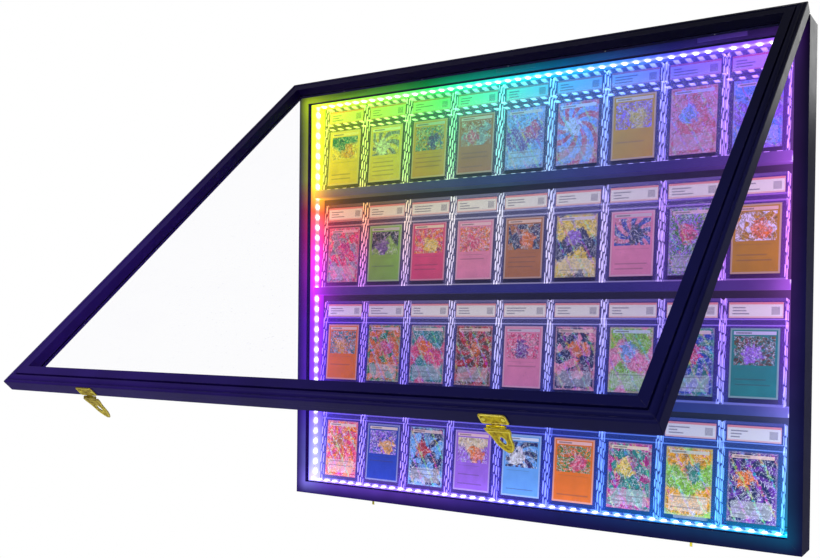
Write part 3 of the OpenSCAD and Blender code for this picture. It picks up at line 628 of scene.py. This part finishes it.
def mould_white(sheet):
    """The controller's white case, a little yellowed and scuffed, with a faint painted glow of the
    tapes.
    """
    point = sheet.point()
    _, wide, _ = sheet.call(TAPE_GLOW)
    worn, rounded = sheet.edges(0.0005)
    age = sheet.noise(point, 90, 4)
    return {
        "Base Color": sheet.mix(age, (0.78, 0.77, 0.72), (0.66, 0.63, 0.54)),
        "Roughness": 0.40 + age * 0.2 + worn * 0.1,
        "Normal": rounded,
        # Painted light: a faint glow of the tapes
        "Emission Color": wide * 0.1,
        "Emission Strength": 1.0,
    }


def pull_lead(sheet):
    """Red and black vinyl on the leads, with a soft sheen and rubbed spots."""
    point, _, y, _ = sheet.place()
    rub = sheet.noise(point, 600, 3)
    red = (y < -0.0060) * (y > -0.0095)
    base = sheet.mix(red, (0.014, 0.014, 0.015), (0.42, 0.018, 0.016))
    return {
        "Base Color": sheet.mix(rub * 0.25, base, (0.16, 0.13, 0.12)),
        "Roughness": 0.38 + rub * 0.2,
        "Normal": sheet.bump(rub, 0.00004, 0.4),
    }


def press_rubber(sheet):
    """Grey felted rubber of the closing bumpers."""
    point = sheet.point()
    pile = sheet.noise(point, 1800, 4, 0.7)
    return {
        "Base Color": sheet.mix(pile, (0.035, 0.035, 0.038), (0.11, 0.11, 0.115)),
        "Roughness": 0.82 + pile * 0.1,
        "Sheen Weight": 0.4,
        "Normal": sheet.bump(pile, 0.00008, 0.8),
    }


def clear_pane(sheet):
    """The door's clear sheet: brighter at a slant, with haze, wipe marks and a few specks."""
    point = sheet.point()
    slant = Num(sheet, sheet.node("Fresnel").outputs[0])
    haze = sheet.ease(sheet.noise(point * sheet.join(3, 9, 9), 1.0, 4, 0.6), 0.45, 0.8)
    speck_far, _ = sheet.cells(point, 120)
    speck = sheet.ease(speck_far, 0.05, 0.10, 1, 0)
    return {
        "Base Color": sheet.mix(haze, (0.16, 0.16, 0.80), (0.36, 0.26, 0.90)),
        "Roughness": 0.03 + haze * 0.05,
        "Alpha": (0.004 + haze * 0.010 + slant * 0.02 + speck * 0.14).clamp(),
    }


def clear_shell(sheet):
    """The slabs' clear plastic: near-empty windows, frosted rims and ridges that carry painted
    light, painted reflections of the chips and a faint painted glow all over.
    """
    point, x, y, z = sheet.place()
    across, up, _, row = sheet.call(SLAB_PLACE)
    close, wide, _ = sheet.call(TAPE_GLOW)
    far = abs(across)
    rim = sheet.ease(far, WINDOW_HALF - 0.0003, WINDOW_HALF + 0.0006)
    foot = sheet.ease(up, END_FROSTED, END_CLEAR, 1, 0)
    head = sheet.ease(up, SLAB_HIGH - END_CLEAR, SLAB_HIGH - END_FROSTED)
    ridges = up.near(RIDGES[0], RIDGE_HALF).most(up.near(RIDGES[1], RIDGE_HALF))
    frame_part = rim.most(foot).most(head)
    # Painted light in the frosted rims, in a braided pattern
    weave = (x + y * 0.8 - z * 0.10 + sheet.noise(point, 90, 2) * 0.0024) / 0.0048
    twist = z / 0.029 + sheet.noise(point, 30, 1) + weave * 0.12
    braid = (weave * (2 * math.pi)).sin() * (twist * (2 * math.pi)).sin()
    bright = sheet.ease(braid, -0.04, 0.28)
    beside = (sheet.ease(far, CARD_WIDE / 2 - 0.0004, CARD_WIDE / 2 + 0.0012) *
              (up > 0.003) * (up < 0.100)).most(up > 0.0975)
    slant = Num(sheet, sheet.node("Fresnel").outputs[0])
    # Painted reflections of the chips: bright dashes at the chip pitch along the lit lines, in the
    # top row and at the bottom row's feet
    chip_glint = sheet.ease((x * (2 * math.pi / CHIP_PITCH) + up * 260).sin(), -0.2, 0.5)
    dashed = (row > 2.5).most((row < 0.5) * (up < 0.02))
    lines = ((ridges + foot * 0.8 + head * (0.25 + (row > 2.5) * 0.6)) *
             (0.40 + dashed * (chip_glint * 1.3 - 0.25)))
    near_light = (wide.length() * 1.6).least(1.0)
    strand = sheet.tinged((1.0, 0.92, 0.88), wide, 0.88)
    # Painted light: a faint glow of the whole shell, tinted by the tapes
    shell_glow = sheet.tinged((0.060, 0.048, 0.120), wide, 0.97)
    body = sheet.mix(frame_part, (0.30, 0.30, 0.50), (0.10, 0.095, 0.16))
    return {
        "Base Color": sheet.tinged(body, wide, 0.95),
        "Roughness": 0.10 + frame_part * 0.18,
        "Alpha": (0.015 + beside * 0.10 + frame_part * (0.22 + rim * bright * 0.70) +
                  lines * 0.55 + slant * 0.05).clamp(),
        "Emission Color": (strand * ((rim * bright * 1.2 + lines) * (0.66 + near_light * 0.62)) +
                           shell_glow * (0.6 + near_light * 0.8) + close * 0.12),
        "Emission Strength": 1.0,
    }


def printed_label(sheet):
    """The paper label in a slab's head: cream stock, one warm stripe and short dark bars, lit by a
    painted glow that the tapes tint.
    """
    point = sheet.point()
    across, up, column, row = sheet.call(SLAB_PLACE)
    close, wide, _ = sheet.call(TAPE_GLOW)
    u = across / LABEL_WIDE + 0.5
    v = (up - LABEL_LOW) / (LABEL_HIGH - LABEL_LOW)
    fibre = sheet.noise(point, 900, 3)
    paper = sheet.mix(fibre, (0.84, 0.78, 0.64), (0.74, 0.68, 0.54))
    stripe = v > 0.86
    foot_line = v.near(0.05, 0.05).most(abs(u - 0.5) > 0.486)
    line = (v * 5.2 + 0.1).floor()
    chance = ((line * 7.13 + column * 3.71 + row * 5.37).sin() * 43.7).fract()
    stroke = ((v * 5.2 + 0.1).fract().near(0.5, 0.22) * (v < 0.80) * (v > 0.14) *
              (u > 0.07) * (u < 0.22 + abs(chance) * 0.34))
    gap = (u * 60 + chance * 9).fract() > 0.24
    block = u.near(0.86, 0.075) * v.near(0.46, 0.25)
    bars = block * ((u * 90).fract() > 0.45)
    ink = sheet.mix((stroke * gap + bars) * 0.85, paper, (0.06, 0.05, 0.06))
    ink = sheet.mix(stripe, ink, (0.80, 0.26, 0.20))
    ink = sheet.mix(foot_line * 0.7, ink, (0.78, 0.34, 0.26))
    # Painted light: a faint glow on the label everywhere, stronger near the tapes and more deeply
    # coloured by them in the top row
    top_row = row > 2.5
    share = 0.30 + top_row * 0.65
    level = wide.length() * (0.55 - top_row * 0.5)
    return {
        "Base Color": sheet.tinged(ink, wide, share),
        "Roughness": 0.55 + fibre * 0.1,
        "Emission Color": (wide * (0.35 + top_row * 0.65) + sheet.grey(level) +
                           sheet.tinged((0.26, 0.25, 0.22), wide, share)) * ink + close * 0.06,
        "Emission Strength": 1.0,
    }


def card_motif(sheet, flat, u, v, seed, kind):
    """Rays round a disc, hills, crystals or waves, by kind, and how far off the middle it is."""
    mid_u, mid_v = u - 0.5 + (seed.sin() * 0.12), (v - 0.62) * 1.4
    out = (mid_u * mid_u + mid_v * mid_v).root()
    turn = sheet.math("ARCTAN2", mid_v, mid_u)
    rays = (turn * 9 + out * 14).sin() * 0.5 + 0.5
    disc = sheet.ease(out, 0.16, 0.19, 1, 0)
    hills = (v * 9 + (u * 7 + seed).sin() * 0.8 + (u * 17).sin() * 0.3).sin() * 0.5 + 0.5
    _, facet = sheet.cells(flat, 95)
    waves = (sheet.noise(flat, 60, 3, 0.5, 3.5) * 26).sin() * 0.5 + 0.5
    field = None
    for n, shape in enumerate((rays.most(disc), hills, facet.parts()[0], waves)):
        part = shape * kind.near(n, 0.5)
        field = part if field is None else field + part
    return field, out


def card_print(row):
    """The print of one row of cards: nine mixes of abstract shapes, each in its own inks, with
    painted foil glints and a painted glow of the tapes.
    """
    inks = CARD_INKS[row]
    deep = {name: tuple(part ** INK_DEPTH for part in ink) for name, ink in INK.items()}
    tinge = CARD_TINGE[row]

    def build(sheet):
        across, up, column, _ = sheet.call(SLAB_PLACE)
        close, wide, _ = sheet.call(TAPE_GLOW)
        u = across / CARD_WIDE + 0.5
        v = (up - CARD_LOW) / (CARD_HIGH - CARD_LOW)
        share = (column + 0.5) / COLUMNS
        main, second, third = (
            sheet.ramp(share, [(k / COLUMNS, deep[mix[n]]) for k, mix in enumerate(inks)],
                       "CONSTANT")
            for n in range(3))
        full_art = sheet.ramp(share, [(k / COLUMNS, (mix[3],) * 3) for k, mix in enumerate(inks)],
                              "CONSTANT")
        kind = ((column * 3 + row * 5) / 4).fract() * 4
        full = full_art.length() > 0.5
        seed = column * 3.17 + row * 11.3
        flat = sheet.join(across + seed * 0.1, up + seed * 0.07, seed)
        field, out = card_motif(sheet, flat, u, v, seed, kind)
        mottle = sheet.noise(flat, 240, 4, 0.65, 1.0)
        art = sheet.mix(sheet.ease(field + (mottle - 0.5) * 1.1, 0.35, 0.62), main, second)
        blot = sheet.noise(flat, 75, 3, 0.55, 1.2)
        emblem = sheet.ease(out + (blot - 0.5) * 0.55, 0.15, 0.22, 1, 0)
        art = sheet.mix(emblem * 0.9, art, third)
        spark = sheet.ease(sheet.noise(flat, 420, 2), 0.66, 0.74)
        art = sheet.mix(spark * 0.6, art, (0.95, 0.93, 0.85))
        shade = sheet.ease(mottle, 0.30, 0.62)
        art = art * (0.38 + shade * 0.82)
        # Painted foil glints: diagonal rainbow streaks, stronger on full-art cards
        drift = u * 2.6 + v * 3.4 + blot * 3
        rainbow = sheet.join((drift * 3).sin() * 0.5 + 0.5, (drift * 3 + 2.1).sin() * 0.5 + 0.5,
                             (drift * 3 + 4.2).sin() * 0.5 + 0.5)
        foil_glint = sheet.ease((u * 21 + v * 17 + mottle * 5 + seed).sin(), 0.80, 0.96)
        art = sheet.mix(foil_glint * (0.10 + full * 0.35), art, rainbow)
        contour = abs(sheet.noise(flat, 130, 4, 0.6, 0.8) - 0.5)
        stroke = sheet.ease(contour, 0.004, 0.022, 1, 0)
        art = sheet.mix(stroke * 0.75, art, (0.88, 0.88, 0.92))
        outline = sheet.ease(abs(blot - 0.47), 0.004, 0.020, 1, 0)
        art = sheet.mix(outline * 0.6, art, (0.03, 0.03, 0.06))

        # The layout: a border, a name bar, the picture, and a box or band of short text bars
        edge = abs(u - 0.5).most((abs(v - 0.5) - 0.5) * 1.4 + 0.5)
        border = edge > 0.463
        picture = (v > 0.47) * (v < 0.885) * (abs(u - 0.5) < 0.415)
        picture = picture.most(full)
        ground = main * (0.75 + sheet.noise(flat, 60, 2) * 0.4)
        face = sheet.mix(picture, ground, art)
        line = (v * 13).floor()
        chance = abs(((line * 12.9 + seed * 4.1).sin() * 91.3).fract())
        text = ((v * 13).fract().near(0.5, 0.13) * (chance > 0.45) * (v > 0.08) * (v < 0.42) *
                (u > 0.12) * (u < 0.55 + chance * 0.34))
        band = full * (v > 0.06) * (v < 0.30) * (abs(u - 0.5) < 0.42)
        face = sheet.mix(band * 0.30, face, (0.80, 0.78, 0.74))
        text = text * (1 - full).most(v < 0.28)
        face = sheet.mix(text * 0.40, face, (0.05, 0.04, 0.06))
        name_bar = (v > 0.905) * (v < 0.955) * (abs(u - 0.5) < 0.43)
        face = sheet.mix(name_bar * 0.75, face, sheet.mix(0.6, third, (0.95, 0.93, 0.86)))
        name = v.near(0.93, 0.011) * (u > 0.12) * (u < 0.44) * ((u * 34 + seed).fract() > 0.25)
        face = sheet.mix(name * 0.85, face, (0.06, 0.05, 0.07))
        rim = sheet.mix(0.35, main, (0.62, 0.62, 0.60))
        face = sheet.mix(border * (1 - full * 0.6), face, rim)
        # Painted light: the cards glow faintly everywhere, brighter and coloured near the tapes
        level = wide.length() * (1.0 - tinge) * 0.9 + 0.10
        return {
            "Base Color": sheet.tinged(face, wide, tinge) * 0.8,
            "Roughness": 0.34 + mottle * 0.1,
            "Coat Weight": 0.2,
            "Emission Color": (wide * tinge + sheet.grey(level)) * face + close * 0.03,
            "Emission Strength": 1.0,
        }

    return build


FINISHES = {
    "black_lacquer": paint_black, "dark_panel": paint_panel, "rolled_brass": roll_brass,
    "pressed_brass": press_brass, "plated_zinc": plate_zinc, "black_steel": japan_steel,
    "white_tape": coat_tape, "lit_chip": light_chip, "black_plastic": mould_black,
    "white_plastic": mould_white, "lead_vinyl": pull_lead, "bumper_rubber": press_rubber,
    "clear_pane": clear_pane, "clear_shell": clear_shell, "label_paper": printed_label,
    **{"card_row_%d" % row: card_print(row) for row in CARD_INKS},
}
BLENDED = ("clear_pane", "clear_shell")
FINISH = {name: material(name, build, name in BLENDED) for name, build in FINISHES.items()}


def finish_of(node):
    """The finish that a CAD node wears, from its name."""
    if node.startswith(("slab_fronts", "slab_backs")):
        return "clear_shell"
    if node.startswith("cards_row"):
        return "card_row_" + node[-1]
    if node.startswith("labels_row"):
        return "label_paper"
    if node.startswith(("case_", "shelf_", "pane_retainers")) or node.endswith("_rail"):
        return "black_lacquer"
    if node.startswith("hinge_"):
        return "black_steel"
    if node.startswith(("latch_tongue", "latch_plates")):
        return "pressed_brass"
    if node.startswith(("latch_", "keeper_")):
        return "rolled_brass"
    if node in ("back_panel_screws", "power_inlet_nut", "wall_hangers", "hanger_screws",
                "retainer_brads"):
        return "plated_zinc"
    if node.startswith(("led_tape", "led_corner")):
        return "white_tape"
    return {
        "back_panel": "dark_panel", "led_chips": "lit_chip", "led_controller": "white_plastic",
        "led_leads": "lead_vinyl", "power_inlet": "black_plastic", "door_pane": "clear_pane",
        "door_bumpers": "bumper_rubber",
    }[node]


for node, thing in nodes.items():
    chosen = FINISH[finish_of(node)]
    if thing.material_slots:
        for slot in thing.material_slots:
            slot.material = chosen
    else:
        thing.data.materials.append(chosen)


def add_camera():
    """The photograph's viewpoint: low at the right, looking in at the open front."""
    yaw, pitch, roll = CAMERA_TURN
    ahead = Vector((-math.sin(yaw) * math.cos(pitch), math.cos(yaw) * math.cos(pitch),
                    math.sin(pitch)))
    right = Vector((math.cos(yaw), math.sin(yaw), 0))
    up = right.cross(ahead)
    across = right * math.cos(roll) + up * math.sin(roll)
    upright = up * math.cos(roll) - right * math.sin(roll)
    camera = bpy.data.objects.new("camera", bpy.data.cameras.new("camera"))
    scene.collection.objects.link(camera)
    turn = Matrix((across, upright, -ahead)).transposed()
    camera.matrix_world = Matrix.Translation(CAMERA_PLACE) @ turn.to_4x4()
    camera.data.sensor_width = 36
    camera.data.lens = 38.878
    camera.data.shift_x = -0.17504
    camera.data.shift_y = 0.07758
    camera.data.clip_start = 0.01
    scene.camera = camera


def add_lamp(name, place, aim, size, power):
    """A soft square white lamp at place, turned to aim."""
    lamp = bpy.data.lights.new(name, "AREA")
    lamp.energy, lamp.size = power, size
    thing = bpy.data.objects.new(name, lamp)
    scene.collection.objects.link(thing)
    thing.location = place
    thing.rotation_euler = (Vector(aim) - Vector(place)).to_track_quat("-Z", "Y").to_euler()


def add_world():
    """White where the camera looks past the object, and a mild even light on it."""
    world = bpy.data.worlds.new("studio")
    world.use_nodes = True
    scene.world = world
    world.node_tree.nodes.clear()
    sheet = Sheet(world.node_tree)
    ray = sheet.node("LightPath").outputs
    seen = Num(sheet, ray["Is Camera Ray"]).most(Num(sheet, ray["Is Transmission Ray"]))
    mirrored = Num(sheet, ray["Is Glossy Ray"])
    sky = sheet.node("Background")
    sheet.feed(sky.inputs["Color"], (1, 1, 1))
    sheet.feed(sky.inputs["Strength"], seen.most(mirrored * 0.22).most((1 - mirrored) * 0.45))
    out = sheet.node("OutputWorld")
    world.node_tree.links.new(sky.outputs[0], out.inputs[0])


def add_floor():
    """A plain pale disc of floor well below the case."""
    shape = bmesh.new()
    bmesh.ops.create_circle(shape, cap_ends=True, segments=96, radius=STAGE_RADIUS)
    bmesh.ops.translate(shape, vec=STAGE_PLACE, verts=shape.verts)
    mesh = bpy.data.meshes.new("floor")
    shape.to_mesh(mesh)
    shape.free()
    floor = bpy.data.objects.new("floor", mesh)
    scene.collection.objects.link(floor)

    def pale(sheet):
        cloud = sheet.noise(sheet.point(), 3, 3)
        return {"Base Color": sheet.mix(cloud, (0.86, 0.86, 0.86), (0.90, 0.90, 0.90)),
                "Roughness": 0.7}

    mesh.materials.append(material("pale_floor", pale))


def hasp_frame(side):
    """Turns a hasp's own measures, from its pin with the door shut, into its place now."""
    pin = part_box("latch_pins")
    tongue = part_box("latch_tongue_" + side)
    middle = Vector(((tongue[0].x + tongue[1].x) / 2, (pin[0].y + pin[1].y) / 2,
                     (pin[0].z + pin[1].z) / 2))
    return Matrix.Translation(middle) @ Matrix.Rotation(DOOR_SWING, 4, "X")


def finish_trim(name, shape, side, body):
    """Makes an object of the shape, in brass, on the hasp of that side."""
    bmesh.ops.transform(shape, matrix=hasp_frame(side), verts=shape.verts)
    mesh = bpy.data.meshes.new(name)
    shape.to_mesh(mesh)
    shape.free()
    mesh.materials.append(FINISH["rolled_brass"])
    thing = bpy.data.objects.new(name, mesh)
    scene.collection.objects.link(thing)
    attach(thing, body)


def add_ring(shape, outline, width, face_z, rise):
    """Adds a raised, softly bevelled ring of that width inside the outline, out from face_z."""
    corners = [shape.verts.new((across, along, face_z + RING_SINK)) for across, along in outline]
    face = shape.faces.new(corners)
    face.normal_update()
    if face.normal.z > 0:
        face.normal_flip()
    ring = bmesh.ops.inset_individual(shape, faces=[face], thickness=width,
                                      use_even_offset=True)["faces"]
    bmesh.ops.delete(shape, geom=[face], context="FACES_ONLY")
    grown = bmesh.ops.extrude_face_region(shape, geom=ring, use_keep_orig=True)["geom"]
    top = [part for part in grown if isinstance(part, bmesh.types.BMFace)]
    lifted = {corner for part in top for corner in part.verts}
    bmesh.ops.translate(shape, vec=(0, 0, -rise), verts=list(lifted))
    rim = {edge for part in top for edge in part.edges
           if sum(mate in top for mate in edge.link_faces) == 1}
    bmesh.ops.bevel(shape, geom=list(rim), offset=rise * 0.45, segments=2, profile=0.5,
                    affect="EDGES", material=-1)
    bmesh.ops.recalc_face_normals(shape, faces=shape.faces)


def add_hasp_trim(side):
    """Pressed rims and screw domes that catch the light on one hasp."""
    plate = bmesh.new()
    half, near, far, cut = HASP_WIDE / 2 - PLATE_INSET, PLATE_NEAR, PLATE_FAR, PLATE_CUT
    add_ring(plate, [(-half + cut, far), (half - cut, far), (half, far + cut), (half, near),
                     (-half, near), (-half, far + cut)],
             PLATE_RIM_WIDE, PLATE_FACE, PLATE_RIM_RISE)
    for way in (-1, 1):
        head = bmesh.ops.create_uvsphere(plate, u_segments=20, v_segments=10,
                                           radius=SCREW_RADIUS)
        bmesh.ops.scale(plate, vec=(1, 1, SCREW_FLAT), verts=head["verts"])
        bmesh.ops.translate(plate, vec=(way * SCREW_ACROSS, PLATE_MIDDLE, PLATE_FACE),
                            verts=head["verts"])
    finish_trim("hasp_plate_trim_" + side, plate, side, "door")

    tongue = bmesh.new()
    add_ring(tongue, TONGUE_OUTLINE, TONGUE_RIM_WIDE, TONGUE_FACE, TONGUE_RIM_RISE)
    add_ring(tongue, SLOT_RIM, SLOT_RIM_THICK, TONGUE_FACE, TONGUE_RIM_RISE)
    finish_trim("hasp_tongue_trim_" + side, tongue, side, "tongue_" + side)


add_hasp_trim("left")
add_hasp_trim("right")
add_camera()
add_world()
for lamp in LAMPS:
    add_lamp(*lamp)
add_floor()
scene.view_settings.view_transform = "Standard"
